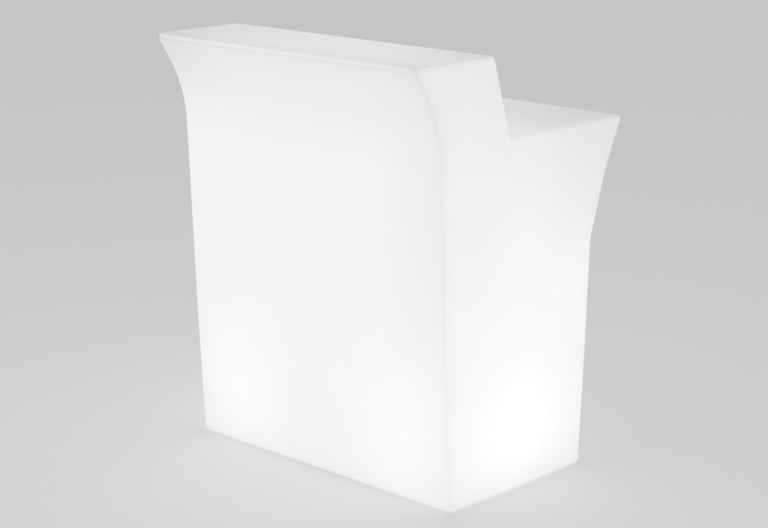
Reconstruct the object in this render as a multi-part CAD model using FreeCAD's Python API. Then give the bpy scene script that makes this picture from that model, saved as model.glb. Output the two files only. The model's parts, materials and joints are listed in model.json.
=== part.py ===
import FreeCAD, Part
import math
import os

# Illuminated bar counter, in millimetres.
# The origin is on the floor, under the middle of the counter's overall outline.
# +Z is up, -Y is the customer's side and +Y is the bartender's side.

# Body: overall sizes
overall_width = 900.0
bar_height = 1100.0
worktop_height = 900.0
base_depth = 500.0
bar_overhang = 124.0
worktop_overhang = 140.0
bar_top_depth = 272.0
base_gap = 4.0
shell_wall = 6.0

# Body: side outline
lower_lean = 3.25
upper_lean = 2.3
knee_height = 305.0
knee_radius = 8000.0
front_flare_angle = 30.9
front_flare_radius = 388.0
riser_lean = 16.9
riser_foot_radius = 10.0
rear_flare_height = 307.0
kink_radius = 60.0
rear_flare_low_angle = 17.2
rear_flare_high_angle = 27.7
rear_flare_radius = 1400.0
corner_radius = 12.0
end_radius = 11.5
least_radius_gap = 0.5

# Storage niche on the bartender's side
end_chamber = 112.0
front_chamber = 240.0
niche_bottom = 330.0
niche_roof = 100.0
niche_radius = 20.0
niche_mouth_radius = 5.0

# Moulded ledges that carry the shelf
ledge_level_share = 0.5
ledge_height = 25.0
ledge_width = 20.0
ledge_radius = 4.0
ledge_round_share = 0.3
ledge_setback = 30.0

# Shelf
shelf_thickness = 15.0
shelf_clearance = 2.0
shelf_setback = 8.0
shelf_front_radius = 12.0
shelf_edge_radius = 3.0

# Levelling feet
foot_inset = 60.0
foot_recess_clearance = 4.0
foot_recess_depth = 10.0
pad_radius = 24.0
pad_hub_height = 5.0
pad_floor = 5.0
pad_chamfer = 1.5
pad_hub_radius = 11.0
stud_radius = 5.0
stud_length = 54.0
stud_chamfer = 1.0
stud_clearance = 0.08
stud_headroom = 4.0
stud_hole_clearance = 1.0
foot_insert_radius = 8.0
foot_insert_length = 25.0
foot_boss_wall = 8.0
foot_boss_cap = 5.0

# Lamp covers in the base
lamp_inset = 150.0
lamp_recess_clearance = 3.0
lamp_recess_depth = 20.0
lamp_opening_radius = 70.0
lamp_seat_width = 22.0
lamp_gasket_thickness = 2.0
lamp_plate_thickness = 4.0
lamp_rib_inset = 10.0
lamp_rib_width = 3.0
lamp_rib_height = 4.0
lamp_screw_count = 4

# Screws and inserts of the covers
screw_radius = 2.0
screw_clearance = 0.25
screw_engagement = 8.0
screw_head_radius = 4.0
screw_head_height = 2.4
screw_slot_width = 1.0
screw_slot_depth = 1.2
screw_slot_share = 0.6
thread_clearance = 0.05
insert_radius = 3.5
insert_length = 10.0
insert_boss_wall = 4.0

# Lamp post and lampholder
post_flange_radius = 33.0
post_flange_thickness = 3.0
post_radius = 20.0
post_wall = 3.0
post_height = 35.0
post_screw_count = 3
holder_radius = 22.0
holder_floor = 21.0
holder_spigot_height = 5.0
holder_spigot_clearance = 0.2
holder_rim_step = 2.0
holder_rim_height = 6.0

# Bulb
bulb_cap_radius = 13.2
bulb_cap_clearance = 0.3
bulb_cap_height = 27.0
bulb_cap_tip_height = 3.0
bulb_cap_tip_radius = 5.0
bulb_body_height = 46.0
bulb_globe_radius = 30.0
bulb_neck_radius = 24.0
bulb_globe_wall = 1.5

# Power pocket low on the bartender's side
pocket_centre_height = 105.0
pocket_depth = 32.0
pocket_radius = 12.0
pocket_clearance = 3.0
pocket_mouth_radius = 4.0

# Inlet plate on the pocket's floor
inlet_opening_margin = 7.0
inlet_opening_radius = 5.0
inlet_plate_side_margin = 17.5
inlet_plate_end_margin = 13.0
inlet_plate_thickness = 3.0
inlet_plate_radius = 8.0
inlet_gasket_thickness = 2.0
inlet_gasket_margin = 1.0
inlet_screw_inset = 8.0

# Mains appliance inlet
socket_width = 24.4
socket_height = 16.4
socket_corner = 4.0
socket_depth = 17.0
inlet_wall = 2.3
inlet_back_wall = 10.0
inlet_flange_side_margin = 10.5
inlet_flange_end_margin = 2.0
inlet_flange_thickness = 3.0
inlet_flange_radius = 4.0
pin_recess = 2.0
pin_width = 4.0
pin_thickness = 2.0
pin_spacing = 7.0
pin_offset = 2.0
tab_length = 8.0
snap_clearance = 0.2

# Rocker switch
inlet_switch_gap = 13.0
switch_bezel_margin = 1.5
switch_bezel_thickness = 2.0
switch_bezel_radius = 2.0
switch_side_wall = 2.3
switch_end_wall = 1.1
switch_floor = 10.5
rocker_width = 13.6
rocker_radius = 12.0
rocker_gap = 0.4
rocker_back_depth = 6.0
rocker_tilt = 8.0
rocker_valley = 3.2
rocker_well_clearance = 2.5
rocker_pivot_depth = 3.0
trunnion_radius = 1.5
trunnion_length = 1.4
trunnion_clearance = 0.05
trunnion_end_gap = 0.2

# Leads inside the body
lead_radius = 3.5
lead_spacing = 5.0
lead_back_run = 50.0
lead_drop_run = 40.0
lead_rise_run = 45.0
lead_entry_gap = 6.5
lead_hole_clearance = 0.5
lead_bend_share = 0.45
jumper_radius = 1.25
jumper_depths = (18.0, 10.0)
jumper_heights = (-9.0, 9.0)
clip_width = 10.0
clip_depth = 16.0
clip_wall = 2.0
clip_clearance = 0.1
clip_place_shares = (0.5, 0.76)

# One overrun serves every cut, and one tolerance every search for an edge.
overrun = 50.0
edge_tolerance = 0.01

# Places of the body's main features
overall_depth = bar_overhang + base_depth + worktop_overhang
kink_height = worktop_height - rear_flare_height
half_width = overall_width / 2
front_y = -overall_depth / 2 + bar_overhang
rear_y = front_y + base_depth
floor_inside = base_gap + shell_wall
niche_half = half_width - end_chamber
niche_back_y = front_y + front_chamber
niche_top = worktop_height - niche_roof
ledge_top = niche_bottom + ledge_level_share * (niche_top - niche_bottom)

# Sizes and places of the feet
foot_x = half_width - foot_inset
foot_roof = base_gap + foot_recess_depth
foot_recess_radius = pad_radius + foot_recess_clearance
pad_height = foot_roof - pad_hub_height
foot_hole_top = pad_floor + stud_length + stud_headroom

# Sizes and places of the lamps
lamp_x = half_width - lamp_inset
lamp_y = (front_y + rear_y) / 2
lamp_roof = base_gap + lamp_recess_depth
lamp_plate_radius = lamp_opening_radius + lamp_seat_width
lamp_recess_radius = lamp_plate_radius + lamp_recess_clearance
lamp_screw_circle_radius = (lamp_opening_radius + lamp_plate_radius) / 2
plate_top = lamp_roof - lamp_gasket_thickness
plate_bottom = plate_top - lamp_plate_thickness
post_screw_circle_radius = (post_radius + post_flange_radius) / 2
post_top = plate_top + post_height
holder_top = post_top + holder_floor + bulb_cap_height
lead_entry_height = lamp_roof + shell_wall + lead_entry_gap

# Sizes of the inlet and the switch, which stand side by side in the middle of the pocket
inlet_body_width = socket_width + 2 * inlet_wall
inlet_body_height = socket_height + 2 * inlet_wall
inlet_body_depth = socket_depth - inlet_flange_thickness + inlet_back_wall
inlet_flange_width = inlet_body_width + 2 * inlet_flange_side_margin
inlet_flange_height = inlet_body_height + 2 * inlet_flange_end_margin
switch_body_width = rocker_width + 2 * (rocker_gap + switch_side_wall)
switch_body_height = 2 * (rocker_radius + rocker_gap + switch_end_wall)
rocker_well_depth = rocker_pivot_depth + rocker_back_depth + rocker_well_clearance
switch_body_depth = rocker_well_depth - switch_bezel_thickness + switch_floor
switch_bezel_width = switch_body_width + 2 * switch_bezel_margin
switch_bezel_height = switch_body_height + 2 * switch_bezel_margin
pair_width = inlet_flange_width + inlet_switch_gap + switch_bezel_width
inlet_x = (inlet_flange_width - pair_width) / 2
switch_x = (pair_width - switch_bezel_width) / 2
inlet_opening_width = pair_width
inlet_opening_height = switch_bezel_height + 2 * inlet_opening_margin
inlet_plate_width = inlet_opening_width + 2 * inlet_plate_side_margin
inlet_plate_height = inlet_opening_height + 2 * inlet_plate_end_margin
pocket_width = inlet_plate_width + 2 * (pocket_radius + pocket_clearance)
pocket_height = inlet_plate_height + 2 * (pocket_radius + pocket_clearance)


def point(x, y, z):
    return FreeCAD.Vector(x, y, z)


def slope(degrees):
    return math.tan(math.radians(degrees))


def lip_reach(flare_angle):
    """How far the sharp corner of a lip stands outside its rounded edge."""
    half_corner = (90 - flare_angle) / 2
    return corner_radius * (1 / slope(half_corner) - 1)


def meeting(y_low, z_low, slope_low, y_high, z_high, slope_high):
    """Where a line up from the low point meets a line down from the high point."""
    height = (y_high - y_low - z_high * slope_high + z_low * slope_low) / (slope_low - slope_high)
    return y_low + (height - z_low) * slope_low, height


def side_corners():
    """The side outline's corners, each with its rounding, from the base round to the front."""
    knee_shift = (knee_height - base_gap) * slope(lower_lean)
    rear_knee_y = rear_y + knee_shift
    front_knee_y = front_y - knee_shift
    kink_y = rear_knee_y + (kink_height - knee_height) * slope(upper_lean)
    rear_lip_y = overall_depth / 2 + lip_reach(rear_flare_high_angle)
    front_lip_y = -overall_depth / 2 - lip_reach(front_flare_angle)
    rear_flare = meeting(kink_y, kink_height, slope(rear_flare_low_angle),
                         rear_lip_y, worktop_height, slope(rear_flare_high_angle))
    front_flare = meeting(front_knee_y, knee_height, -slope(upper_lean),
                          front_lip_y, bar_height, -slope(front_flare_angle))
    riser_top_y = -overall_depth / 2 + bar_top_depth
    riser_foot_y = riser_top_y + (bar_height - worktop_height) * slope(riser_lean)
    rear = [
        (rear_y, base_gap, corner_radius),
        (rear_knee_y, knee_height, knee_radius),
        (kink_y, kink_height, kink_radius),
        (rear_flare[0], rear_flare[1], rear_flare_radius),
        (rear_lip_y, worktop_height, corner_radius),
    ]
    top = [
        (riser_foot_y, worktop_height, riser_foot_radius),
        (riser_top_y, bar_height, corner_radius),
        (front_lip_y, bar_height, corner_radius),
    ]
    front = [
        (front_flare[0], front_flare[1], front_flare_radius),
        (front_knee_y, knee_height, knee_radius),
        (front_y, base_gap, corner_radius),
    ]
    return rear, top, front


def rear_face_y(height):
    """Where the rear face stands at a height, leaving its roundings out."""
    rear = side_corners()[0]
    for low, high in zip(rear, rear[1:]):
        if height <= high[1] or high is rear[-1]:
            return low[0] + (height - low[1]) * (high[0] - low[0]) / (high[1] - low[1])


def rounded_wire(corners):
    """A closed wire in the YZ plane through corners (y, z, radius), each rounded by an arc."""
    count = len(corners)
    arcs = []
    for index, (y, z, radius) in enumerate(corners):
        corner = point(0, y, z)
        before = point(0, *corners[index - 1][:2]) - corner
        after = point(0, *corners[(index + 1) % count][:2]) - corner
        half_angle = before.getAngle(after) / 2
        room = min(before.Length, after.Length) / 2
        setback = min(radius / math.tan(half_angle), room)
        radius = setback * math.tan(half_angle)
        before.normalize()
        after.normalize()
        middle = before + after
        middle.normalize()
        arcs.append((
            corner + before * setback,
            corner + middle * (radius / math.sin(half_angle) - radius),
            corner + after * setback,
        ))
    edges = []
    for index, (start, middle, end) in enumerate(arcs):
        edges.append(Part.Arc(start, middle, end).toShape())
        following = arcs[(index + 1) % count][0]
        if end.distanceToPoint(following) > edge_tolerance:
            edges.append(Part.LineSegment(end, following).toShape())
    return Part.Wire(edges)


def solid_of(shape):
    """The one solid of a result."""
    return shape.Solids[0]


def body_form(inset):
    """The body's rounded outer form, or the same form set in by a wall."""
    rear, top, front = side_corners()
    face = Part.Face(rounded_wire(rear + top + front))
    if inset:
        face = face.makeOffset2D(-inset)
    half = half_width - inset
    prism = face.extrude(point(2 * half, 0, 0))
    prism.translate(point(-half, 0, 0))
    rims = [edge for edge in prism.Edges if edge.BoundBox.XLength < edge_tolerance]
    radius = max(min(end_radius, corner_radius - least_radius_gap) - inset, least_radius_gap / 2)
    return solid_of(prism.makeFillet(radius, rims))


def block(x_range, y_range, z_range):
    size = [high - low for low, high in (x_range, y_range, z_range)]
    return Part.makeBox(*size, point(x_range[0], y_range[0], z_range[0]))


def upright(radius, x, y, z_low, z_high):
    """A cylinder that stands up along Z."""
    return Part.makeCylinder(radius, z_high - z_low, point(x, y, z_low))


def level(radius, x, z, y_low, y_high):
    """A cylinder that lies along Y."""
    return Part.makeCylinder(radius, y_high - y_low, point(x, y_low, z), point(0, 1, 0))


def panel(x, z, width, height, y_low, y_high, radius):
    """A plate that faces along Y, with rounded corners."""
    plate = block((x - width / 2, x + width / 2), (y_low, y_high), (z - height / 2, z + height / 2))
    return plate.makeFillet(radius, edges_along(plate, 1))


def edges_along(shape, axis):
    """The straight edges that run along X (0), Y (1) or Z (2)."""
    found = []
    for edge in shape.Edges:
        box = edge.BoundBox
        lengths = [box.XLength, box.YLength, box.ZLength]
        length = lengths.pop(axis)
        if max(lengths) < edge_tolerance:
            found.append(edge)
    return found


def hollow_block(half, centre_x, y_back, z_low, z_high, radius, growth):
    """A hollow's form that opens towards +Y, grown all round by a wall."""
    x_range = (centre_x - half - growth, centre_x + half + growth)
    y_range = (y_back - growth, overall_depth / 2 + overrun)
    z_range = (z_low - growth, z_high + growth)
    form = block(x_range, y_range, z_range)
    inner = [edge for edge in form.Edges if edge.BoundBox.YMin < y_range[1] - edge_tolerance]
    return form.makeFillet(radius + growth, inner)


def ledge(side, growth):
    """One moulded ledge on a side wall of the niche, or its core set in by the wall."""
    wall_x = side * (niche_half + overrun)
    tip_x = side * (niche_half - ledge_width - growth)
    z_range = (ledge_top - ledge_height - growth, ledge_top + growth)
    rear_end = rear_face_y(ledge_top) - ledge_setback + growth
    form = block((min(wall_x, tip_x), max(wall_x, tip_x)),
                 (niche_back_y - overrun, rear_end), z_range)
    tips = [edge for edge in edges_along(form, 1) if abs(edge.CenterOfMass.x - tip_x) < edge_tolerance]
    radius = min(ledge_radius, (z_range[1] - z_range[0]) * ledge_round_share)
    return form.makeFillet(radius, tips)


def niche_form(growth):
    """The niche with its ledges left standing. A ledge thick enough for it is hollow."""
    form = hollow_block(niche_half, 0, niche_back_y, niche_bottom, niche_top,
                        niche_radius, growth)
    if ledge_height > 2 * growth:
        form = form.cut([ledge(-1, -growth), ledge(1, -growth)])
    return form


def pocket_floor_y():
    return rear_face_y(pocket_centre_height) - pocket_depth


def pocket_form(growth):
    return hollow_block(
        pocket_width / 2, 0, pocket_floor_y(), pocket_centre_height - pocket_height / 2,
        pocket_centre_height + pocket_height / 2, pocket_radius, growth,
    )


def foot_places():
    """Name and place of each levelling foot."""
    places = []
    for depth_name, y in (("front", front_y + foot_inset), ("rear", rear_y - foot_inset)):
        for side_name, side in (("left", -1), ("right", 1)):
            places.append((depth_name + "_" + side_name, side * foot_x, y))
    return places


def circle_places(x, y, radius, count):
    """Places spread evenly on a circle, the first halfway between +X and +Y."""
    places = []
    for index in range(count):
        angle = math.pi / 4 + 2 * math.pi * index / count
        places.append((x + radius * math.cos(angle), y + radius * math.sin(angle)))
    return places


def inlet_screw_places():
    x = inlet_plate_width / 2 - inlet_screw_inset
    z = inlet_plate_height / 2 - inlet_screw_inset
    return [(side * x, pocket_centre_height + end * z) for side in (-1, 1) for end in (-1, 1)]


def mouth_edges(shape, cutter, skin):
    """The edges where a hollow's walls meet the body's skin."""
    found = []
    for edge in shape.Edges:
        middle = edge.valueAt((edge.FirstParameter + edge.LastParameter) / 2)
        spot = Part.Vertex(middle)
        on_cutter = spot.distToShape(cutter.Shells[0])[0] < edge_tolerance
        if on_cutter and spot.distToShape(skin.Shells[0])[0] < edge_tolerance:
            found.append(edge)
    return found


def rounded_mouth(shape, cutter, skin, radius):
    cut = solid_of(shape.cut(cutter))
    return solid_of(cut.makeFillet(radius, mouth_edges(cut, cutter, skin)))


def body_bosses():
    """What stands up inside the body: recess walls, and the bosses that hold the inserts."""
    solids = []
    boss_radius = insert_radius + insert_boss_wall
    boss_height = insert_length + insert_boss_wall
    for side in (-1, 1):
        x = side * lamp_x
        solids.append(upright(lamp_recess_radius + shell_wall, x, lamp_y,
                              -overrun, lamp_roof + shell_wall))
        for place in circle_places(x, lamp_y, lamp_screw_circle_radius, lamp_screw_count):
            solids.append(upright(boss_radius, *place, -overrun, lamp_roof + boss_height))
    for name, x, y in foot_places():
        solids.append(upright(foot_recess_radius + shell_wall, x, y,
                              -overrun, foot_roof + shell_wall))
        solids.append(upright(foot_insert_radius + foot_boss_wall, x, y,
                              -overrun, foot_hole_top + foot_boss_cap))
    floor_y = pocket_floor_y()
    for x, z in inlet_screw_places():
        solids.append(level(boss_radius, x, z, floor_y - boss_height, rear_y + overrun))
    return solids


def body_hollows():
    """What is cut out of the body from outside, the niche and the pocket left out."""
    solids = []
    for side in (-1, 1):
        x = side * lamp_x
        solids.append(upright(lamp_recess_radius, x, lamp_y, -overrun, lamp_roof))
        solids.append(upright(lamp_opening_radius, x, lamp_y, -overrun,
                              lamp_roof + shell_wall + overrun))
        for place in circle_places(x, lamp_y, lamp_screw_circle_radius, lamp_screw_count):
            solids.append(upright(insert_radius, *place, lamp_roof, lamp_roof + insert_length))
    for name, x, y in foot_places():
        solids.append(upright(foot_recess_radius, x, y, -overrun, foot_roof))
        solids.append(upright(foot_insert_radius, x, y, foot_roof, foot_roof + foot_insert_length))
        solids.append(upright(stud_radius + stud_hole_clearance, x, y, foot_roof,
                              foot_hole_top))
    floor_y = pocket_floor_y()
    for x, z in inlet_screw_places():
        solids.append(level(insert_radius, x, z, floor_y - insert_length, floor_y))
    solids.append(panel(0, pocket_centre_height, inlet_opening_width, inlet_opening_height,
                        floor_y - overrun, floor_y + overrun, inlet_opening_radius))
    return solids


def make_body_shell():
    outer = body_form(0)
    skin = rounded_mouth(outer, niche_form(0), outer, niche_mouth_radius)
    skin = rounded_mouth(skin, pocket_form(0), outer, pocket_mouth_radius)
    chamber = body_form(shell_wall)
    chamber = chamber.cut([niche_form(shell_wall), pocket_form(shell_wall)])
    chamber = chamber.cut(body_bosses())
    return solid_of(skin.cut([chamber] + body_hollows()))


def rims_at(shape, axis, places):
    """The flat rims of a shape that lie at the given places along X (0), Y (1) or Z (2)."""
    found = []
    for edge in shape.Edges:
        box = edge.BoundBox
        low = (box.XMin, box.YMin, box.ZMin)[axis]
        high = (box.XMax, box.YMax, box.ZMax)[axis]
        gap = min(abs((low + high) / 2 - place) for place in places)
        if high - low < edge_tolerance and gap < edge_tolerance:
            found.append(edge)
    return found


def tube(outer_radius, inner_radius, x, y, z_low, z_high):
    """An upright ring or tube."""
    return upright(outer_radius, x, y, z_low, z_high).cut(
        upright(inner_radius, x, y, z_low - overrun, z_high + overrun))


def revolved(profile, x, y):
    """A solid turned about an upright axis from a profile of (radius, height) points."""
    outline = [point(radius, 0, height) for radius, height in profile]
    face = Part.Face(Part.makePolygon(outline + outline[:1]))
    solid = face.revolve(point(0, 0, 0), point(0, 0, 1), 360)
    solid.translate(point(x, y, 0))
    return solid


def screw(seat, drive, length):
    """A pan-head screw with a cross recess. Its head sits on the seat, and it drives along drive."""
    head = Part.makeCylinder(screw_head_radius, screw_head_height)
    head = head.makeFillet(screw_head_height / 2, rims_at(head, 2, [screw_head_height]))
    shank = Part.makeCylinder(screw_radius, length, point(0, 0, -length))
    reach = screw_head_radius * screw_slot_share
    half = screw_slot_width / 2
    depth = (screw_head_height - screw_slot_depth, screw_head_height + overrun)
    solid = head.fuse(shank).cut([
        block((-reach, reach), (-half, half), depth),
        block((-half, half), (-reach, reach), depth),
    ])
    solid = solid_of(solid)
    solid.Placement = FreeCAD.Placement(seat, FreeCAD.Rotation(point(0, 0, -1), drive))
    return solid


def bent_tube(points, radius, name):
    """A lead through the points: straight runs joined by arcs as large as the runs allow."""
    edges = []
    start = points[0]
    radii = []
    for before, corner, after in zip(points, points[1:], points[2:]):
        back = before - corner
        onward = after - corner
        half_angle = back.getAngle(onward) / 2
        setback = lead_bend_share * min(back.Length, onward.Length)
        bend = setback * math.tan(half_angle)
        back.normalize()
        onward.normalize()
        middle = back + onward
        middle.normalize()
        arc_start = corner + back * setback
        arc_end = corner + onward * setback
        arc_middle = corner + middle * (bend / math.sin(half_angle) - bend)
        edges.append(Part.LineSegment(start, arc_start).toShape())
        edges.append(Part.Arc(arc_start, arc_middle, arc_end).toShape())
        radii.append(round(bend, 1))
        start = arc_end
    edges.append(Part.LineSegment(start, points[-1]).toShape())
    path = Part.Wire(edges)
    section = Part.Wire(Part.makeCircle(radius, points[0], points[1] - points[0]))
    solid = solid_of(path.makePipeShell([section], True, False))
    wanted = math.pi * radius ** 2 * path.Length
    print(name, "bend radii", radii, "length", round(path.Length),
          "volume share", round(solid.Volume / wanted, 4))
    return solid


def make_shelf():
    half = niche_half - shelf_clearance
    back = niche_back_y + shelf_clearance
    front = rear_face_y(ledge_top) - shelf_setback
    levels = [ledge_top, ledge_top + shelf_thickness]
    board = block((-half, half), (back, front), levels)
    for y, radius in ((back, niche_radius), (front, shelf_front_radius)):
        corners = [edge for edge in edges_along(board, 2)
                   if abs(edge.CenterOfMass.y - y) < edge_tolerance]
        board = board.makeFillet(radius, corners)
    return board.makeFillet(shelf_edge_radius, rims_at(board, 2, levels))


def make_foot_insert(x, y):
    return tube(foot_insert_radius, stud_radius + stud_clearance, x, y,
                foot_roof, foot_roof + foot_insert_length)


def make_foot_stud(x, y):
    top = pad_floor + stud_length
    return revolved([
        (0, pad_floor), (stud_radius, pad_floor), (stud_radius, top - stud_chamfer),
        (stud_radius - stud_chamfer, top), (0, top),
    ], x, y)


def make_foot_pad(x, y):
    pad = revolved([
        (0, 0), (pad_radius - pad_chamfer, 0), (pad_radius, pad_chamfer),
        (pad_radius, pad_height - pad_chamfer), (pad_radius - pad_chamfer, pad_height),
        (pad_hub_radius, pad_height), (pad_hub_radius, foot_roof), (0, foot_roof),
    ], x, y)
    return pad.cut(upright(stud_radius, x, y, pad_floor, foot_roof + overrun))


def make_lamp_plate(x, y):
    plate = upright(lamp_plate_radius, x, y, plate_bottom, plate_top)
    rib = tube(lamp_opening_radius - lamp_rib_inset,
               lamp_opening_radius - lamp_rib_inset - lamp_rib_width, x, y,
               plate_bottom - lamp_rib_height, plate_bottom)
    plate = plate.fuse(rib).cut(lamp_screw_holes(x, y))
    holes = [upright(screw_radius, *place, -overrun, plate_top + overrun)
             for place in circle_places(x, y, post_screw_circle_radius, post_screw_count)]
    return solid_of(plate.cut(holes).removeSplitter())


def lamp_screw_holes(x, y):
    return [upright(screw_radius + screw_clearance, *place, -overrun, lamp_roof)
            for place in circle_places(x, y, lamp_screw_circle_radius, lamp_screw_count)]


def make_lamp_gasket(x, y):
    ring = tube(lamp_plate_radius, lamp_opening_radius, x, y, plate_top, lamp_roof)
    return ring.cut(lamp_screw_holes(x, y))


def make_lamp_plate_screws(x, y):
    length = lamp_plate_thickness + lamp_gasket_thickness + screw_engagement
    return Part.makeCompound([
        screw(point(*place, plate_bottom), point(0, 0, 1), length)
        for place in circle_places(x, y, lamp_screw_circle_radius, lamp_screw_count)])


def make_lamp_plate_inserts(x, y):
    return Part.makeCompound([
        tube(insert_radius, screw_radius + thread_clearance, *place,
             lamp_roof, lamp_roof + insert_length)
        for place in circle_places(x, y, lamp_screw_circle_radius, lamp_screw_count)])


def make_lamp_post(x, y):
    flange_top = plate_top + post_flange_thickness
    post = upright(post_flange_radius, x, y, plate_top, flange_top)
    post = post.fuse(upright(post_radius, x, y, plate_top, post_top))
    cuts = [upright(post_radius - post_wall, x, y, -overrun, post_top + overrun)]
    cuts.append(level(lead_radius + lead_hole_clearance, x, lead_entry_height, y, y + overrun))
    for place in circle_places(x, y, post_screw_circle_radius, post_screw_count):
        cuts.append(upright(screw_radius + screw_clearance, *place, -overrun, flange_top + overrun))
    return solid_of(post.cut(cuts).removeSplitter())


def make_lamp_post_screws(x, y):
    seat = plate_top + post_flange_thickness
    length = post_flange_thickness + lamp_plate_thickness
    return Part.makeCompound([
        screw(point(*place, seat), point(0, 0, -1), length)
        for place in circle_places(x, y, post_screw_circle_radius, post_screw_count)])


def make_lampholder(x, y):
    spigot_radius = post_radius - post_wall - holder_spigot_clearance
    bore_radius = bulb_cap_radius + bulb_cap_clearance
    rim_radius = holder_radius + holder_rim_step
    return revolved([
        (0, post_top - holder_spigot_height), (spigot_radius, post_top - holder_spigot_height),
        (spigot_radius, post_top), (holder_radius, post_top),
        (holder_radius, holder_top - holder_rim_height),
        (rim_radius, holder_top - holder_rim_height), (rim_radius, holder_top),
        (bore_radius, holder_top), (bore_radius, holder_top - bulb_cap_height),
        (0, holder_top - bulb_cap_height),
    ], x, y)


def make_bulb_cap(x, y):
    bottom = holder_top - bulb_cap_height
    shoulder = bottom + bulb_cap_tip_height
    return revolved([
        (0, bottom), (bulb_cap_tip_radius, bottom), (bulb_cap_radius, shoulder),
        (bulb_cap_radius, holder_top), (0, holder_top),
    ], x, y)


def make_bulb_body(x, y):
    foot_radius = bulb_cap_radius + bulb_cap_clearance
    top = holder_top + bulb_body_height
    return revolved([
        (0, holder_top), (foot_radius, holder_top), (bulb_neck_radius, top), (0, top),
    ], x, y)


def make_bulb_globe(x, y):
    neck = holder_top + bulb_body_height
    centre = neck + math.sqrt(bulb_globe_radius ** 2 - bulb_neck_radius ** 2)
    ball = Part.makeSphere(bulb_globe_radius, point(x, y, centre))
    core = Part.makeSphere(bulb_globe_radius - bulb_globe_wall, point(x, y, centre))
    below = upright(bulb_globe_radius + overrun, x, y, centre - bulb_globe_radius - overrun, neck)
    return solid_of(ball.cut([core, below]))


def plate_front_y():
    return pocket_floor_y() + inlet_gasket_thickness + inlet_plate_thickness


def inlet_screw_holes():
    floor_y = pocket_floor_y()
    return [level(screw_radius + screw_clearance, x, z, floor_y - overrun, floor_y + overrun)
            for x, z in inlet_screw_places()]


def make_inlet_gasket():
    floor_y = pocket_floor_y()
    z = pocket_centre_height
    width = inlet_plate_width - 2 * inlet_gasket_margin
    height = inlet_plate_height - 2 * inlet_gasket_margin
    sheet = panel(0, z, width, height, floor_y, floor_y + inlet_gasket_thickness,
                  inlet_plate_radius - inlet_gasket_margin)
    window = panel(0, z, inlet_opening_width, inlet_opening_height, floor_y - overrun,
                   floor_y + overrun, inlet_opening_radius)
    return solid_of(sheet.cut([window] + inlet_screw_holes()))


def make_inlet_plate():
    z = pocket_centre_height
    front = plate_front_y()
    back = front - inlet_plate_thickness
    plate = panel(0, z, inlet_plate_width, inlet_plate_height, back, front, inlet_plate_radius)
    windows = [
        block(*box_about(inlet_x, z, inlet_body_width + snap_clearance,
                         inlet_body_height + snap_clearance, back - overrun, front + overrun)),
        block(*box_about(switch_x, z, switch_body_width + snap_clearance,
                         switch_body_height + snap_clearance, back - overrun, front + overrun)),
    ]
    return solid_of(plate.cut(windows + inlet_screw_holes()))


def box_about(x, z, width, height, y_low, y_high):
    """The ranges of a block that faces along Y about a centre."""
    return (x - width / 2, x + width / 2), (y_low, y_high), (z - height / 2, z + height / 2)


def make_inlet_screws():
    length = inlet_plate_thickness + inlet_gasket_thickness + screw_engagement
    return Part.makeCompound([
        screw(point(x, plate_front_y(), z), point(0, -1, 0), length)
        for x, z in inlet_screw_places()])


def make_inlet_inserts():
    floor_y = pocket_floor_y()
    inserts = []
    for x, z in inlet_screw_places():
        sleeve = level(insert_radius, x, z, floor_y - insert_length, floor_y)
        bore = level(screw_radius + thread_clearance, x, z, floor_y - overrun, floor_y + overrun)
        inserts.append(sleeve.cut(bore))
    return Part.makeCompound(inserts)


def socket_floor_y():
    return plate_front_y() + inlet_flange_thickness - socket_depth


def pin_places():
    """The centres of the three flat pins, line and neutral first."""
    z = pocket_centre_height
    return [(inlet_x - pin_spacing, z - pin_offset), (inlet_x + pin_spacing, z - pin_offset),
            (inlet_x, z + pin_offset)]


def tab_end_y():
    return plate_front_y() - inlet_body_depth - tab_length


def make_inlet_pins():
    tip = socket_floor_y() + socket_depth - pin_recess
    return Part.makeCompound([
        block(*box_about(x, z, pin_thickness, pin_width, tab_end_y(), tip))
        for x, z in pin_places()])


def make_inlet_socket():
    z = pocket_centre_height
    front = plate_front_y()
    body = panel(inlet_x, z, inlet_flange_width, inlet_flange_height, front,
                 front + inlet_flange_thickness, inlet_flange_radius)
    body = body.fuse(block(*box_about(inlet_x, z, inlet_body_width, inlet_body_height,
                                      front - inlet_body_depth, front)))
    recess = block(*box_about(inlet_x, z, socket_width, socket_height, socket_floor_y(),
                              front + overrun))
    upper = [edge for edge in edges_along(recess, 1) if edge.CenterOfMass.z > z]
    recess = recess.makeChamfer(socket_corner, upper)
    return solid_of(body.cut([recess, make_inlet_pins()]).removeSplitter())


def rocker_pivot_y():
    return plate_front_y() + switch_bezel_thickness - rocker_pivot_depth


def lying_cylinder(radius, x_low, x_high):
    """A cylinder along X about the rocker's pivot."""
    return Part.makeCylinder(radius, x_high - x_low,
                             point(x_low, rocker_pivot_y(), pocket_centre_height), point(1, 0, 0))


def make_switch_rocker():
    z = pocket_centre_height
    y = rocker_pivot_y()
    half = rocker_width / 2
    reach = rocker_radius + rocker_gap
    body = lying_cylinder(rocker_radius, switch_x - half, switch_x + half)
    valley = y + rocker_valley
    rise = reach * slope(rocker_tilt)
    wedge = Part.makePolygon([
        point(switch_x - reach, valley, z), point(switch_x - reach, valley + rise, z + reach),
        point(switch_x - reach, valley + reach, z + reach),
        point(switch_x - reach, valley + reach, z - reach),
        point(switch_x - reach, valley + rise, z - reach), point(switch_x - reach, valley, z),
    ])
    front = Part.Face(wedge).extrude(point(2 * reach, 0, 0))
    back = block((switch_x - reach, switch_x + reach), (y - 2 * reach, y - rocker_back_depth),
                 (z - reach, z + reach))
    body = solid_of(body.cut([front, back]))
    end = half + trunnion_length
    body = body.fuse(lying_cylinder(trunnion_radius, switch_x - end, switch_x + end))
    body = solid_of(body.removeSplitter())
    body.rotate(point(switch_x, y, z), point(1, 0, 0), rocker_tilt)
    return body


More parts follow.
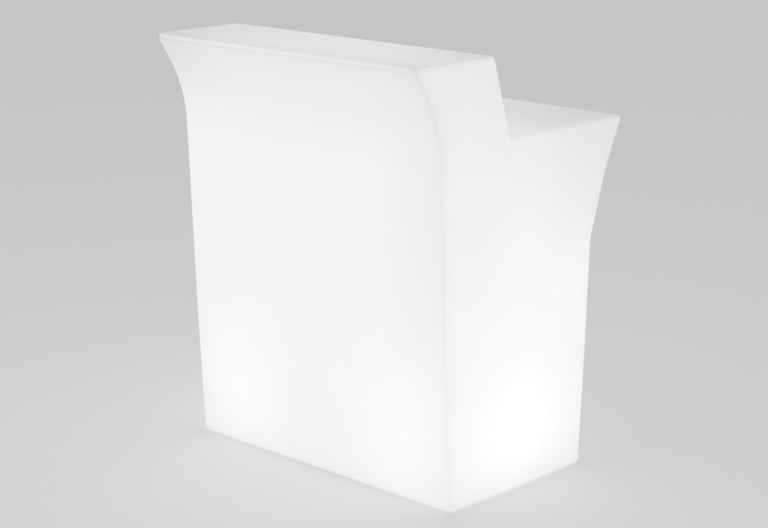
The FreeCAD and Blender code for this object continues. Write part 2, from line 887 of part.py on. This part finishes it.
def make_switch_housing():
    z = pocket_centre_height
    front = plate_front_y()
    y = rocker_pivot_y()
    body = panel(switch_x, z, switch_bezel_width, switch_bezel_height, front,
                 front + switch_bezel_thickness, switch_bezel_radius)
    body = body.fuse(block(*box_about(switch_x, z, switch_body_width, switch_body_height,
                                      front - switch_body_depth, front)))
    half = rocker_width / 2 + rocker_gap
    reach = rocker_radius + rocker_gap
    well = lying_cylinder(reach, switch_x - half, switch_x + half)
    floor = front + switch_bezel_thickness - rocker_well_depth
    well = well.cut(block((switch_x - reach, switch_x + reach), (y - 2 * reach, floor),
                          (z - reach, z + reach)))
    mouth = block((switch_x - half, switch_x + half), (y, front + overrun), (z - reach, z + reach))
    end = rocker_width / 2 + trunnion_length + trunnion_end_gap
    pivot = lying_cylinder(trunnion_radius + trunnion_clearance, switch_x - end, switch_x + end)
    return solid_of(body.cut([well, mouth, pivot]).removeSplitter())


def switch_back_y():
    return plate_front_y() - switch_body_depth


def lead_lane_y():
    return switch_back_y() - lead_back_run


def lead_floor_z():
    return floor_inside + clip_wall + lead_radius


def make_lamp_lead(side, name):
    start_x = switch_x + side * lead_spacing
    x = side * lamp_x
    lane = lead_lane_y()
    return bent_tube([
        point(start_x, switch_back_y(), pocket_centre_height),
        point(start_x, lane, pocket_centre_height),
        point(start_x + side * lead_drop_run, lane, lead_floor_z()),
        point(x, lane, lead_floor_z()),
        point(x, lane - lead_rise_run, lead_entry_height),
        point(x, lamp_y, lead_entry_height),
        point(x, lamp_y, post_top - holder_spigot_height),
    ], lead_radius, name)


def make_jumper_leads():
    wires = []
    for (x, z), depth, height in zip(pin_places(), jumper_depths, jumper_heights):
        back = tab_end_y() - depth
        end_z = pocket_centre_height + height
        wires.append(bent_tube([
            point(x, tab_end_y(), z), point(x, back, z),
            point(switch_x, back, end_z), point(switch_x, switch_back_y(), end_z),
        ], jumper_radius, "jumper_leads"))
    return Part.makeCompound(wires)


def make_lead_clips():
    lane = lead_lane_y()
    top = lead_floor_z() + lead_radius + clip_wall
    clips = []
    for side in (-1, 1):
        for share in clip_place_shares:
            x = side * share * lamp_x
            body = block((x - clip_width / 2, x + clip_width / 2),
                         (lane - clip_depth / 2, lane + clip_depth / 2), (floor_inside, top))
            bore = Part.makeCylinder(lead_radius + clip_clearance, 2 * overrun,
                                     point(x - overrun, lane, lead_floor_z()), point(1, 0, 0))
            clips.append(body.cut(bore))
    return Part.makeCompound(clips)


pieces = {}
pieces["body_shell"] = make_body_shell()
pieces["shelf"] = make_shelf()
for place_name, foot_place_x, foot_place_y in foot_places():
    pieces["foot_insert_" + place_name] = make_foot_insert(foot_place_x, foot_place_y)
    pieces["foot_stud_" + place_name] = make_foot_stud(foot_place_x, foot_place_y)
    pieces["foot_pad_" + place_name] = make_foot_pad(foot_place_x, foot_place_y)
for side_name, side_sign in (("left", -1), ("right", 1)):
    lamp_place = (side_sign * lamp_x, lamp_y)
    pieces["lamp_plate_" + side_name] = make_lamp_plate(*lamp_place)
    pieces["lamp_gasket_" + side_name] = make_lamp_gasket(*lamp_place)
    pieces["lamp_plate_screws_" + side_name] = make_lamp_plate_screws(*lamp_place)
    pieces["lamp_plate_inserts_" + side_name] = make_lamp_plate_inserts(*lamp_place)
    pieces["lamp_post_" + side_name] = make_lamp_post(*lamp_place)
    pieces["lamp_post_screws_" + side_name] = make_lamp_post_screws(*lamp_place)
    pieces["lampholder_" + side_name] = make_lampholder(*lamp_place)
    pieces["bulb_cap_" + side_name] = make_bulb_cap(*lamp_place)
    pieces["bulb_body_" + side_name] = make_bulb_body(*lamp_place)
    pieces["bulb_globe_" + side_name] = make_bulb_globe(*lamp_place)
    lead_name = "lamp_lead_" + side_name
    pieces[lead_name] = make_lamp_lead(side_sign, lead_name)
pieces["inlet_gasket"] = make_inlet_gasket()
pieces["inlet_plate"] = make_inlet_plate()
pieces["inlet_screws"] = make_inlet_screws()
pieces["inlet_inserts"] = make_inlet_inserts()
pieces["inlet_socket"] = make_inlet_socket()
pieces["inlet_pins"] = make_inlet_pins()
pieces["switch_housing"] = make_switch_housing()
pieces["switch_rocker"] = make_switch_rocker()
pieces["jumper_leads"] = make_jumper_leads()
pieces["lead_clips"] = make_lead_clips()

os.makedirs("parts", exist_ok=True)
for name, shape in pieces.items():
    shape.exportStep("parts/" + name + ".step")
    box = shape.BoundBox
    size = [round(value, 1) for value in (box.XMin, box.YMin, box.ZMin, box.XMax, box.YMax, box.ZMax)]
    print(name, len(shape.Solids), shape.isValid(), round(shape.Volume), size)
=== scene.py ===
import json
import math

import bmesh
import bpy
from mathutils import Matrix, Vector


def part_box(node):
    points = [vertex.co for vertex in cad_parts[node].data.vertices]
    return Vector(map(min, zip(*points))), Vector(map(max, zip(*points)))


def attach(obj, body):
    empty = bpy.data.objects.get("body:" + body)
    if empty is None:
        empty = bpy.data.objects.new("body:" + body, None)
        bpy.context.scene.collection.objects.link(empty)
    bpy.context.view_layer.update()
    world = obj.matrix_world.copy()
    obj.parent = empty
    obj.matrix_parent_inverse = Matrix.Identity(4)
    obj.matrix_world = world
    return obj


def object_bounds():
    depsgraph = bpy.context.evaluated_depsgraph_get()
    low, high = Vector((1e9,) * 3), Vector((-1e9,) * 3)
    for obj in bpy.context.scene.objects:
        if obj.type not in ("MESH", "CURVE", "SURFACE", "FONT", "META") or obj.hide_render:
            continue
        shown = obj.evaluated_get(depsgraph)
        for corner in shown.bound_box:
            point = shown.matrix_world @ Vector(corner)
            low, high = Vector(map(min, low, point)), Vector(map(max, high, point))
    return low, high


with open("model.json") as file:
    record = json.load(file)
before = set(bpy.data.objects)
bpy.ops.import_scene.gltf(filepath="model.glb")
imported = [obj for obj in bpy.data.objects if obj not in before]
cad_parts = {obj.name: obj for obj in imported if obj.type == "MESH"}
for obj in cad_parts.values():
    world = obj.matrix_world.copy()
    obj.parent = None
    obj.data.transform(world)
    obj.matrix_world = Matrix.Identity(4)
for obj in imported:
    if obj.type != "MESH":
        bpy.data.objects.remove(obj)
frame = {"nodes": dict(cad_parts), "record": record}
cad_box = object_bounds()
nodes = frame["nodes"]

# Camera: place, direction and lens worked out from the photograph's perspective
camera_place = Vector((3.3429, -3.4923, 1.7362))
camera_yaw = math.radians(43.9096)
camera_pitch = math.radians(14.3258)
camera_roll = math.radians(-0.0704)
camera_lens = 90.01
sensor_width = 36.0


def link(thing):
    bpy.context.scene.collection.objects.link(thing)
    return thing


def make_camera():
    data = bpy.data.cameras.new("camera")
    data.sensor_width = sensor_width
    data.lens = camera_lens
    data.dof.use_dof = False
    camera = link(bpy.data.objects.new("camera", data))
    back = Vector((math.sin(camera_yaw) * math.cos(camera_pitch),
                   -math.cos(camera_yaw) * math.cos(camera_pitch), math.sin(camera_pitch)))
    right = Vector((math.cos(camera_yaw), math.sin(camera_yaw), 0))
    up = back.cross(right)
    turn_cos, turn_sin = math.cos(camera_roll), math.sin(camera_roll)
    rolled_right = right * turn_cos + up * turn_sin
    rolled_up = up * turn_cos - right * turn_sin
    rotation = Matrix((rolled_right, rolled_up, back)).transposed().to_4x4()
    camera.matrix_world = Matrix.Translation(camera_place) @ rotation
    bpy.context.scene.camera = camera


make_camera()
bpy.context.scene.view_settings.view_transform = "Standard"


class Nodes:
    """A material's node tree, with short names for the nodes used here."""

    # Where a Mix node keeps its two colours and its mixed colour
    mix_colours = (6, 7)
    mix_result = 2

    # Most of a noise lies in this span.
    noise_span = (0.3, 0.7)

    def __init__(self, name):
        self.material = bpy.data.materials.new(name)
        self.material.use_nodes = True
        self.tree = self.material.node_tree
        self.tree.nodes.clear()
        output = self.tree.nodes.new("ShaderNodeOutputMaterial")
        self.shader = self.tree.nodes.new("ShaderNodeBsdfPrincipled")
        self.join(self.shader.outputs["BSDF"], output.inputs["Surface"])
        self.place = self.tree.nodes.new("ShaderNodeTexCoord").outputs["Object"]

    def join(self, source, target):
        self.tree.links.new(source, target)

    def put(self, value, target):
        if isinstance(value, bpy.types.NodeSocket):
            self.join(value, target)
        else:
            target.default_value = value

    def set(self, **values):
        """Sets the shader's inputs, named in small letters with low lines for spaces."""
        for name, value in values.items():
            title = name.replace("_", " ").title().replace("Ior", "IOR")
            self.put(value, self.shader.inputs[title])

    def math(self, operation, *values):
        node = self.tree.nodes.new("ShaderNodeMath")
        node.operation = operation
        for value, target in zip(values, node.inputs):
            self.put(value, target)
        return node.outputs[0]

    def along(self, operation, values):
        """One operation carried along a row of values."""
        total = values[0]
        for value in values[1:]:
            total = self.math(operation, total, value)
        return total

    def add(self, *values):
        return self.along("ADD", values)

    def multiply(self, *values):
        return self.along("MULTIPLY", values)

    def subtract(self, first, second):
        return self.math("SUBTRACT", first, second)

    def size(self, value):
        return self.math("ABSOLUTE", value)

    def blend(self, share, first, second):
        """The first value where the share is 0 and the second where it is 1."""
        return self.add(self.multiply(first, self.subtract(1.0, share)), self.multiply(second, share))

    def vector(self, operation, first, second=None):
        node = self.tree.nodes.new("ShaderNodeVectorMath")
        node.operation = operation
        self.put(first, node.inputs[0])
        if second is not None:
            self.put(second, node.inputs[1])
        return node.outputs["Value" if operation in ("LENGTH", "DOT_PRODUCT") else "Vector"]

    def split(self, vector):
        node = self.tree.nodes.new("ShaderNodeSeparateXYZ")
        self.join(vector, node.inputs[0])
        return node.outputs

    def smooth(self, value, start, stop, start_value=0.0, stop_value=1.0):
        """A soft step from one value to another."""
        node = self.tree.nodes.new("ShaderNodeMapRange")
        node.interpolation_type = "SMOOTHSTEP"
        self.put(value, node.inputs["Value"])
        node.inputs["From Min"].default_value = start
        node.inputs["From Max"].default_value = stop
        node.inputs["To Min"].default_value = start_value
        node.inputs["To Max"].default_value = stop_value
        return node.outputs["Result"]

    def steps(self, *pairs):
        """The product of soft steps, each a value and its step."""
        return self.multiply(*[self.smooth(value, *step) for value, step in pairs])

    def curve(self, value, points):
        """A smooth curve through points, each an input and an output."""
        node = self.tree.nodes.new("ShaderNodeFloatCurve")
        self.put(value, node.inputs["Value"])
        line = node.mapping.curves[0]
        while len(line.points) < len(points):
            line.points.new(0, 0)
        for spot, (x, y) in zip(line.points, sorted(points)):
            spot.location = (x, y)
            spot.handle_type = "AUTO_CLAMPED"
        node.mapping.use_clip = False
        node.mapping.update()
        return node.outputs["Value"]

    def noise(self, scale, detail=3.0, roughness=0.5, stretch=None):
        node = self.tree.nodes.new("ShaderNodeTexNoise")
        node.inputs["Scale"].default_value = scale
        node.inputs["Detail"].default_value = detail
        node.inputs["Roughness"].default_value = roughness
        place = self.place
        if stretch is not None:
            place = self.vector("MULTIPLY", place, stretch)
        self.join(place, node.inputs["Vector"])
        return node.outputs["Fac"]

    def drift(self, noise, low, high):
        """A value that drifts from low to high with a noise."""
        return self.smooth(noise, *self.noise_span, low, high)

    def tint(self, light, dark, scale):
        """A colour that drifts a little over the surface."""
        node = self.tree.nodes.new("ShaderNodeMix")
        node.data_type = "RGBA"
        self.put(self.noise(scale), node.inputs["Factor"])
        for value, place in zip((dark, light), self.mix_colours):
            self.put(value, node.inputs[place])
        self.set(base_color=node.outputs[self.mix_result])

    def bump(self, height, distance, strength=0.6):
        node = self.tree.nodes.new("ShaderNodeBump")
        node.inputs["Distance"].default_value = distance
        node.inputs["Strength"].default_value = strength
        self.join(height, node.inputs["Height"])
        self.set(normal=node.outputs["Normal"])

    def shine(self, level):
        """A grey emission of the given level."""
        node = self.tree.nodes.new("ShaderNodeCombineColor")
        for channel in node.inputs:
            self.join(level, channel)
        self.set(emission_color=node.outputs["Color"], emission_strength=1.0)


def grey(value, warmth=0.0):
    return (value * (1 + warmth), value, value * (1 - warmth), 1.0)


def darker(colour, spread):
    return tuple(channel * (1 - spread) for channel in colour[:3]) + (1.0,)


# Painted glow of the lit body: an emission that stands in for the lamps' light through the skin,
# with painted highlights and painted shade in it. A soft step holds where it starts and stops, and
# then its values there, which are 0 and 1 where it has none. Places are in metres, and turns are
# parts of the normal.
half_width = cad_box[1][0]
lamp_places = [tuple((low + high) / 2 for low, high in zip(*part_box("bulb_globe_" + side)))
               for side in ("left", "right")]

# The side outline at heights, and how bright the painted glow and the studio's light together make the
# front and the ends there
front_edge = [(0.0, -0.258), (0.305, -0.275), (0.60, -0.287), (0.85, -0.298), (0.95, -0.314),
              (1.0, -0.331), (1.05, -0.356), (1.10, -0.382)]
rear_edge = [(0.0, 0.242), (0.305, 0.259), (0.593, 0.271), (0.75, 0.319), (0.90, 0.382)]
front_glow = [(0.0, 0.69), (0.05, 0.74), (0.20, 0.785), (0.50, 0.838), (0.80, 0.863), (0.90, 0.838),
              (1.0, 0.785), (1.10, 0.74)]
end_glow = [(0.0, 0.735), (0.05, 0.80), (0.12, 0.857), (0.30, 0.872), (0.55, 0.89), (0.70, 0.87),
            (0.85, 0.828), (1.10, 0.773)]

# Where a face counts as an end face or as an upward one. The least level share keeps
# the division sound where a face looks straight up or down.
end_turn = (0.70, 0.98)
upward_turn = (0.55, 0.95)
least_level_share = 0.0001

# Painted shade: the glow of the front and rear faces dims a little towards their upper corners and their
# ends.
front_right_dim = (0.20, 0.44, 0.0, 0.050)
front_right_start = (0.28, 0.75)
front_right_stop = (0.84, 0.95, 1.0, 0.4)
front_left_dim = (-0.16, -0.44, 0.0, 0.058)
front_left_height = (0.93, 1.05)
front_rim_dim = (0.004, 0.040, 0.014, 0.0)

# Painted shade on the end faces: their glow dims towards their rims, and above the lamps towards the
# worktop's lip; a little painted light lifts it towards the front above the lamps.
end_rim_dim = (0.004, 0.050, 0.022, 0.0)
end_front_gain = (-0.25, 0.0, 0.018, 0.0)
end_rear_dim = (0.0, 0.28, 0.0, 0.060)
end_upper_height = (0.48, 0.72)
end_band_dim = (0.0, -0.20, 0.0, 0.034)
end_band_start = (0.42, 0.60)
end_band_stop = (0.80, 0.70)

# Painted shade on upward faces: they are farther from the lamps, so their glow is set dimmer, with small
# painted lifts and dims in places.
bar_top_height = (0.95, 1.05)
bar_top_level = (-0.05, -0.48, 0.752, 0.680)
bar_top_right_dim = (0.25, 0.46, 0.0, 0.035)
bar_top_lip_dim = (-0.32, -0.375, 0.0, 0.035)
bar_top_left_part = (-0.18, -0.42)
bar_top_left_gain = (-0.34, -0.17, -0.012, 0.024)
bar_top_right_part = (0.10, 0.36)
bar_top_riser_dim = (-0.26, -0.14, 0.0, 0.046)
worktop_level = (-0.12, 0.38, 0.755, 0.648)
worktop_rim_gain = (0.418, 0.440, 0.0, 0.030)
worktop_middle_gain = (0.40, 0.10, 0.0, 0.040)
worktop_lip_part = (0.12, 0.34)
below_worktop_gain = (0.80, 0.86, 0.12, 0.0)

# Painted light: each lamp shines through the skin next to it, added to the glow.
front_lamp_share = 0.0075
end_lamp_share = 0.0032
lamp_limit = 0.12

# Painted highlight on the rounded lips, and painted shade on the upright edges, which turn away from the
# lamps.
lip_lower_turn = (0.0, 0.34)
lip_upper_turn = (0.80, 0.54)
lip_right_end = (0.442, 0.416)
lip_left_end = (-0.449, -0.438)
lip_painted_highlight = (0.0, -0.40, 0.055, 0.080)
edge_start = (0.15, 0.65)
edge_stop = (0.999, 0.93)
edge_upright = (0.6, 0.3)
edge_painted_shade = -0.018

# What the studio's light and its return from the floor add
studio_level = (0.3, 0.95, 0.427, 0.413)
studio_up = 0.104
studio_down = 0.055
studio_low_loss = (0.0, 0.15, 0.020, 0.0)
sole_return = (-0.05, -0.60, 0.0, 0.10)
sole_height = (0.030, 0.012)

# Painted shade in the hollows: the glow is set lower in the niche and the pocket, and on the riser, most
# at its foot.
niche_sides = (0.350, 0.342)
niche_back = (-0.030, -0.020)
niche_floor = (0.320, 0.328)
niche_roof = (0.810, 0.802)
niche_mouth = (0.001, 0.020)
niche_glow = (0.33, 0.80, 0.25, 0.20)
pocket_sides = (0.090, 0.080)
pocket_back = (0.190, 0.200)
pocket_floor = (0.046, 0.052)
pocket_roof = (0.170, 0.160)
pocket_mouth = (0.001, 0.010)
pocket_painted_shade = 0.55
riser_part = (-0.180, -0.140)
riser_turn = (0.3, 0.7)
riser_height = (0.895, 0.905)
riser_painted_shade = (0.90, 1.08, 0.15, 0.04)

# The skin's mottle, colour, gloss and fine grain
mottle_scale = 9.0
mottle_levels = (0.994, 1.006)
skin_colours = (grey(0.89), grey(0.87))
skin_colour_scale = 6.0
skin_roughness = (0.42, 0.52)
skin_roughness_scale = 60.0
fine_grain_scale = 900.0
coarse_grain_scale = 70.0
coarse_grain_share = 0.5
skin_grain_depth = 0.00008


def front_level(build, x, z):
    rim = build.subtract(half_width, build.size(x))
    dims = build.add(
        build.steps((x, front_right_dim), (z, front_right_start), (z, front_right_stop)),
        build.steps((x, front_left_dim), (z, front_left_height)),
        build.smooth(rim, *front_rim_dim))
    return build.subtract(build.curve(z, front_glow), dims)


def end_level(build, y, z, to_rear):
    to_front = build.subtract(y, build.curve(z, front_edge))
    gain = build.steps((y, end_front_gain), (z, end_upper_height))
    dims = build.add(
        build.smooth(build.math("MINIMUM", to_front, to_rear), *end_rim_dim),
        build.steps((y, end_rear_dim), (z, end_upper_height)),
        build.steps((y, end_band_dim), (z, end_band_start), (z, end_band_stop)))
    return build.subtract(build.add(build.curve(z, end_glow), gain), dims)


def upward_level(build, x, y, z):
    bar_top = build.add(
        build.smooth(x, *bar_top_level),
        build.steps((x, bar_top_left_part), (y, bar_top_left_gain)))
    bar_top_dims = build.add(
        build.smooth(x, *bar_top_right_dim),
        build.smooth(y, *bar_top_lip_dim),
        build.steps((x, bar_top_right_part), (y, bar_top_riser_dim)))
    worktop = build.add(
        build.smooth(y, *worktop_level),
        build.smooth(x, *worktop_rim_gain),
        build.steps((x, worktop_middle_gain), (y, worktop_lip_part)),
        build.smooth(z, *below_worktop_gain))
    return build.blend(build.smooth(z, *bar_top_height), worktop, build.subtract(bar_top, bar_top_dims))


def lamp_level(build, normal, share):
    """Painted light of the lamps, which falls off with the square of the distance and the slant."""
    lights = []
    for lamp in lamp_places:
        offset = build.vector("SUBTRACT", build.place, lamp)
        facing = build.size(build.vector("DOT_PRODUCT", normal, offset))
        cube = build.math("POWER", build.vector("LENGTH", offset), 3.0)
        light = build.multiply(build.math("DIVIDE", facing, cube), share)
        lights.append(build.math("MINIMUM", light, lamp_limit))
    return build.add(*lights)


def painted_lip_and_edge_light(build, x, nz, sideways):
    """The painted highlight on the lips and the painted shade on the upright edges."""
    lip = build.steps((nz, lip_lower_turn), (nz, lip_upper_turn), (x, lip_right_end),
                      (x, lip_left_end), (x, lip_painted_highlight))
    edge = build.steps((sideways, edge_start), (sideways, edge_stop), (build.size(nz), edge_upright))
    return build.add(lip, build.multiply(edge, edge_painted_shade))


def studio_share(build, z, nx, nz):
    """What the studio's light adds to a face that looks along the normal."""
    above = build.multiply(build.math("MAXIMUM", nz, 0.0), studio_up)
    below = build.multiply(build.math("MINIMUM", nz, 0.0), studio_down)
    light = build.add(build.smooth(build.size(nx), *studio_level), above, below,
                      build.steps((nz, sole_return), (z, sole_height)))
    return build.subtract(light, build.smooth(z, *studio_low_loss))


def shade_hollows(build, glow, x, y, z, ny, to_rear):
    aside = build.size(x)
    niche = build.steps((aside, niche_sides), (y, niche_back), (z, niche_floor), (z, niche_roof),
                        (to_rear, niche_mouth))
    pocket = build.steps((aside, pocket_sides), (y, pocket_back), (z, pocket_floor), (z, pocket_roof),
                         (to_rear, pocket_mouth))
    riser = build.steps((y, riser_part), (ny, riser_turn), (z, riser_height), (z, riser_painted_shade))
    glow = build.blend(niche, glow, build.smooth(z, *niche_glow))
    glow = build.multiply(glow, build.subtract(1.0, build.multiply(pocket, pocket_painted_shade)))
    return build.subtract(glow, riser)


def shell_material():
    """The lit body: its painted glow, which stands in for the lamps' light through the skin, is the
    brightness wanted less what the studio's light adds.
    """
    build = Nodes("shell_polyethylene")
    x, y, z = build.split(build.place)
    normal = build.tree.nodes.new("ShaderNodeNewGeometry").outputs["Normal"]
    nx, ny, nz = build.split(normal)
    level_share = build.math("MAXIMUM", build.subtract(1.0, build.multiply(nz, nz)), least_level_share)
    sideways = build.math("DIVIDE", build.size(nx), build.math("SQRT", level_share))
    to_rear = build.subtract(build.curve(z, rear_edge), y)

    endness = build.smooth(sideways, *end_turn)
    side = build.blend(endness, front_level(build, x, z), end_level(build, y, z, to_rear))
    wanted = build.blend(build.smooth(nz, *upward_turn), side, upward_level(build, x, y, z))
    lamp_share = build.blend(endness, front_lamp_share, end_lamp_share)
    wanted = build.add(wanted, lamp_level(build, normal, lamp_share),
                       painted_lip_and_edge_light(build, x, nz, sideways))
    glow = build.subtract(wanted, studio_share(build, z, nx, nz))
    glow = shade_hollows(build, glow, x, y, z, ny, to_rear)
    mottle = build.drift(build.noise(mottle_scale, detail=4.0), *mottle_levels)
    build.shine(build.math("MAXIMUM", build.multiply(glow, mottle), 0.0))

    build.tint(*skin_colours, skin_colour_scale)
    build.set(roughness=build.drift(build.noise(skin_roughness_scale, detail=4.0), *skin_roughness))
    coarse_grain = build.multiply(build.noise(coarse_grain_scale), coarse_grain_share)
    build.bump(build.add(build.noise(fine_grain_scale, detail=2.0), coarse_grain), skin_grain_depth)
    return build


# Plastics, rubbers and metals: drifts of their colour and gloss
plastic_tint_scale = 25.0
plastic_gloss_scale = 120.0
plastic_gloss_swing = 0.05
metal_tint_scale = 180.0
metal_tint_spread = 0.14
metal_streak_scale = 60.0
metal_streak_stretch = (1.0, 1.0, 40.0)
metal_gloss_swing = 0.07
metal_streak_depth = 0.00002

# The lit globes' slightly warm light
globe_light = (1.0, 0.985, 0.96, 1.0)


def plastic(name, colour, roughness, grain_scale, grain_depth, spread=0.03):
    """A moulded or coated surface with a fine grain. Its colour drifts darker by the spread."""
    build = Nodes(name)
    build.tint(colour, darker(colour, spread), plastic_tint_scale)
    gloss_drift = build.noise(plastic_gloss_scale, detail=4.0)
    build.set(roughness=build.drift(gloss_drift, roughness - plastic_gloss_swing,
                                    roughness + plastic_gloss_swing))
    build.bump(build.noise(grain_scale, detail=2.0), grain_depth)
    return build


def metal(name, colour, roughness):
    """A plated or turned surface with fine level streaks in its gloss."""
    build = Nodes(name)
    build.tint(colour, darker(colour, metal_tint_spread), metal_tint_scale)
    streaks = build.noise(metal_streak_scale, detail=4.0, roughness=0.6, stretch=metal_streak_stretch)
    build.set(metallic=1.0, roughness=build.drift(streaks, roughness - metal_gloss_swing,
                                                  roughness + metal_gloss_swing))
    build.bump(streaks, metal_streak_depth, strength=0.5)
    return build


def make_materials():
    globe = plastic("bulb_globe_frosted", grey(0.93), 0.5, 1500.0, 0.00003)
    globe.set(emission_color=globe_light, emission_strength=1.0)
    builds = {
        "shell": shell_material(),
        "shelf": plastic("shelf_white", grey(0.88), 0.45, 1100.0, 0.00006),
        "cover": plastic("cover_powder_coat", grey(0.62), 0.42, 1600.0, 0.00006),
        "post": metal("post_aluminium", grey(0.68), 0.35),
        "lampholder": plastic("lampholder_white", grey(0.72, 0.01), 0.22, 500.0, 0.00001),
        "nickel": metal("cap_nickel", grey(0.66, 0.02), 0.25),
        "bulb_body": plastic("bulb_body_white", grey(0.80), 0.25, 500.0, 0.00001),
        "bulb_globe": globe,
        "seal": plastic("seal_rubber", grey(0.018), 0.75, 900.0, 0.00008, 0.3),
        "foot_rubber": plastic("foot_rubber", grey(0.025), 0.70, 700.0, 0.0001, 0.3),
        "fastener": metal("zinc_plated_steel", grey(0.55), 0.32),
        "brass": metal("brass", (0.60, 0.42, 0.15, 1.0), 0.30),
        "electrical": plastic("electrical_black", grey(0.020), 0.45, 1400.0, 0.00005, 0.2),
        "rocker": plastic("rocker_black", grey(0.016), 0.22, 600.0, 0.00001, 0.2),
        "lead": plastic("lead_white", grey(0.62), 0.45, 500.0, 0.00003),
        "clip": plastic("clip_grey", grey(0.45), 0.45, 800.0, 0.00003),
        "mark": plastic("mark_white", grey(0.80), 0.35, 900.0, 0.00001),
    }
    return {slot: build.material for slot, build in builds.items()}


materials = make_materials()
for part in frame["record"]["subparts"]:
    for place in nodes[part["node"]].material_slots:
        place.material = materials[part["material_slot"]]

# Marks on the switch's rocker: a bar for on, above a ring for off.
# The rocker's face has two halves, which meet in a valley in front of its pivot.
pivot = Vector(next(joint for joint in frame["record"]["behaviour"]["joints"]
                    if joint["name"] == "rocker_tilt")["pos_m"])
valley_distance = 0.0032
half_slope = math.radians(8.0)
mark_distance = 0.0060
mark_rise = 0.00006
mark_root = 0.00010
mark_width = 0.0009
bar_length = 0.0046
ring_radius = 0.0024
round_steps = 48


def outline(radius, half_run=0.0):
    """A ring of points (across, along) about the origin, drawn out along by half_run each way."""
    points = []
    for step in range(round_steps):
        angle = 2 * math.pi * (step + 0.5) / round_steps
        along = radius * math.sin(angle)
        points.append((radius * math.cos(angle), along + math.copysign(half_run, along)))
    return points


def rocker_mark(name, side, slope, outer, inner=None):
    """A thin mark on the rocker's upper half, where side is 1, or its lower half, where it is -1.

    At rest that half leans back from upright by the slope.
    """
    along = Vector((0, math.sin(slope), side * math.cos(slope)))
    outward = Vector((0, math.cos(slope), math.sin(slope)))
    valley = pivot + Vector((0, math.cos(half_slope), math.sin(half_slope))) * valley_distance
    middle = valley + along * mark_distance
    bm = bmesh.new()
    rings = []
    for points in filter(None, (outer, inner)):
        for lift in (-mark_root, mark_rise):
            base = middle + outward * lift
            rings.append([bm.verts.new(base + Vector((across, 0, 0)) + along * run)
                          for across, run in points])
    pairs = [(rings[0], rings[1])]
    if inner:
        pairs += [(rings[1], rings[3]), (rings[3], rings[2]), (rings[2], rings[0])]
    else:
        bm.faces.new(rings[1])
        bm.faces.new(rings[0])
    for first, second in pairs:
        for step in range(round_steps):
            following = (step + 1) % round_steps
            bm.faces.new((first[step], first[following], second[following], second[step]))
    bmesh.ops.recalc_face_normals(bm, faces=bm.faces)
    mesh = bpy.data.meshes.new(name)
    bm.to_mesh(mesh)
    bm.free()
    mark = link(bpy.data.objects.new(name, mesh))
    mesh.materials.append(materials["mark"])
    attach(mark, "rocker")


rocker_mark("rocker_mark_on", 1, 0.0, outline(mark_width / 2, (bar_length - mark_width) / 2))
rocker_mark("rocker_mark_off", -1, 2 * half_slope, outline(ring_radius), outline(ring_radius - mark_width))

# Floor, backdrop and studio light
floor_half = 40.0
floor_grey = 0.86
floor_roughness = 0.9
floor_specular = 0.1
backdrop_lift = 0.12
world_level = 0.50
backdrop_level = 0.56
overhead_place = Vector((-0.5, -0.9, 4.6))
overhead_aim = Vector((0, 0, 0.5))
overhead_size = 4.0
overhead_power = 18.0


def seen_rays(tree):
    """One for the rays that show a background to the eye: direct, mirrored or seen through."""
    path = tree.nodes.new("ShaderNodeLightPath")
    total = path.outputs["Is Camera Ray"]
    for name in ("Is Glossy Ray", "Is Transmission Ray"):
        larger = tree.nodes.new("ShaderNodeMath")
        larger.operation = "MAXIMUM"
        tree.links.new(total, larger.inputs[0])
        tree.links.new(path.outputs[name], larger.inputs[1])
        total = larger.outputs[0]
    return total


def flat_floor():
    mesh = bpy.data.meshes.new("floor")
    corners = [(-floor_half, -floor_half, 0), (floor_half, -floor_half, 0),
               (floor_half, floor_half, 0), (-floor_half, floor_half, 0)]
    mesh.from_pydata(corners, [], [(0, 1, 2, 3)])
    floor = link(bpy.data.objects.new("floor", mesh))
    build = Nodes("floor_grey")
    build.set(base_color=grey(floor_grey), roughness=floor_roughness, specular_ior_level=floor_specular)
    build.shine(build.multiply(seen_rays(build.tree), backdrop_lift))
    mesh.materials.append(build.material)


def backdrop():
    world = bpy.data.worlds.new("studio")
    bpy.context.scene.world = world
    world.use_nodes = True
    tree = world.node_tree
    background = next(node for node in tree.nodes if node.type == "BACKGROUND")
    background.inputs["Color"].default_value = grey(1.0)
    shade = tree.nodes.new("ShaderNodeMapRange")
    shade.inputs["To Min"].default_value = world_level
    shade.inputs["To Max"].default_value = backdrop_level
    tree.links.new(seen_rays(tree), shade.inputs["Value"])
    tree.links.new(shade.outputs["Result"], background.inputs["Strength"])


def overhead_lamp():
    data = bpy.data.lights.new("overhead", "AREA")
    data.shape = "DISK"
    data.size = overhead_size
    data.energy = overhead_power
    lamp = link(bpy.data.objects.new("overhead", data))
    lamp.location = overhead_place
    lamp.rotation_euler = (overhead_aim - overhead_place).to_track_quat("-Z", "Y").to_euler()


flat_floor()
backdrop()
overhead_lamp()
